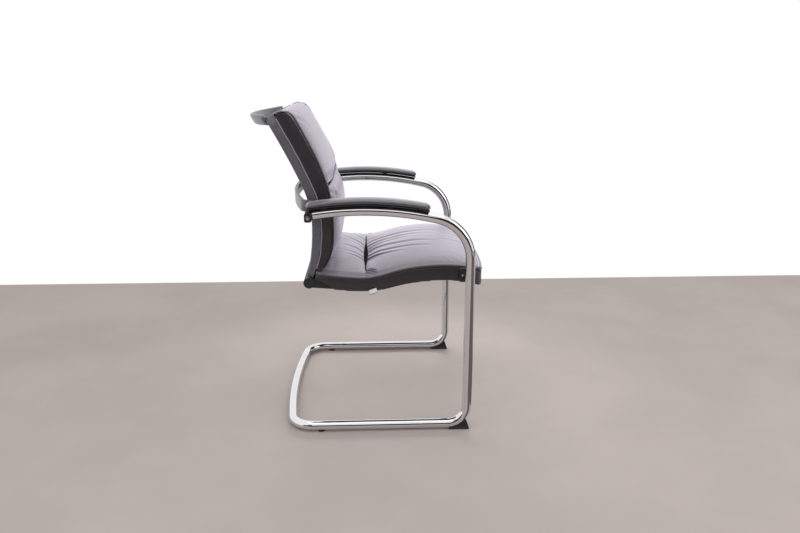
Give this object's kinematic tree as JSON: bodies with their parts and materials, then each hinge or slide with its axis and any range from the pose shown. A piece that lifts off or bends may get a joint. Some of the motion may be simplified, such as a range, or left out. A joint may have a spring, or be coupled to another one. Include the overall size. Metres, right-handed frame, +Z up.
{
  "type": "cantilever lounge chair",
  "caption": "Upholstered cantilever armchair on a bent chromed tube, with a leaning back and seat that move together, padded arms, a grab handle and a rear brace.",
  "frame": {"origin": "centre of the bounding box at floor level", "axes": "+Z up, +X the way the sitter faces, +Y to the left of the sitter"},
  "size_m": [0.6263, 0.608, 0.8418],
  "materials": {
    "chromed_tube": "mirror polished chrome plating on bent steel tube",
    "steel_pins": "turned bright steel",
    "feet": "matte black with floor dust at the edge",
    "back_moulding": "satin black moulding with a fine grain",
    "handle_and_brace": "semi-gloss black that reads grey-blue in the light",
    "foam": "hidden foam",
    "arm_leather": "black leather, semi-gloss, worn a little on top",
    "side_leather": "black leather stretched flat over the sides",
    "piping_leather": "black leather rolled over a cord",
    "face_leather": "near-black leather with a violet cast, soft sheen and wrinkles that fan from the crease",
    "tag_cloth": "plain pale woven tape, blank",
    "black_mouldings": "satin black"
  },
  "bodies": {
    "frame": {"frame_tube": "chromed_tube", "front_foot_left": "feet", "front_foot_right": "feet", "rear_glide_left": "feet", "rear_glide_right": "feet", "arm_base_left": "black_mouldings", "arm_base_right": "black_mouldings", "arm_pad_left": "arm_leather", "arm_pad_right": "arm_leather", "arm_joint_left": "black_mouldings", "arm_joint_right": "black_mouldings", "pivot_pin_left": "steel_pins", "pivot_pin_right": "steel_pins", "rear_brace": "handle_and_brace", "seat_mount_left": "black_mouldings", "seat_mount_right": "black_mouldings"},
    "back": {"back_frame": "back_moulding", "back_lug_left": "black_mouldings", "back_lug_right": "black_mouldings", "grab_handle": "handle_and_brace", "back_foam": "foam", "gusset_left": "side_leather", "gusset_right": "side_leather", "back_piping_left": "piping_leather", "back_piping_right": "piping_leather", "back_cushion": "face_leather", "lumbar_cushion": "face_leather", "hinge_barrel": "black_mouldings", "hinge_rod": "steel_pins"},
    "seat": {"hinge_arm_left": "black_mouldings", "hinge_arm_right": "black_mouldings", "hinge_cap_left": "black_mouldings", "hinge_cap_right": "black_mouldings", "seat_shell": "black_mouldings", "seat_foam": "foam", "seat_border": "side_leather", "seat_piping": "piping_leather", "seat_cushion_front": "face_leather", "seat_cushion_rear": "face_leather", "seat_pin_left": "steel_pins", "seat_pin_right": "steel_pins", "care_tag": "tag_cloth"}
  },
  "joints": [
    {"name": "back_lean", "type": "hinge", "parent": "frame", "child": "back", "pos_m": [-0.147, 0, 0.58188], "axis": [0, -1, 0], "range_deg": [0, 6], "stiffness_Nm_per_rad": 500},
    {"name": "seat_follow", "type": "hinge", "parent": "back", "child": "seat", "pos_m": [-0.154, 0, 0.4], "axis": [0, -1, 0], "range_deg": [-6, 0]}
  ],
  "couplings": [
    {"joint": "seat_follow", "follows": "back_lean", "ratio": -1}
  ]
}
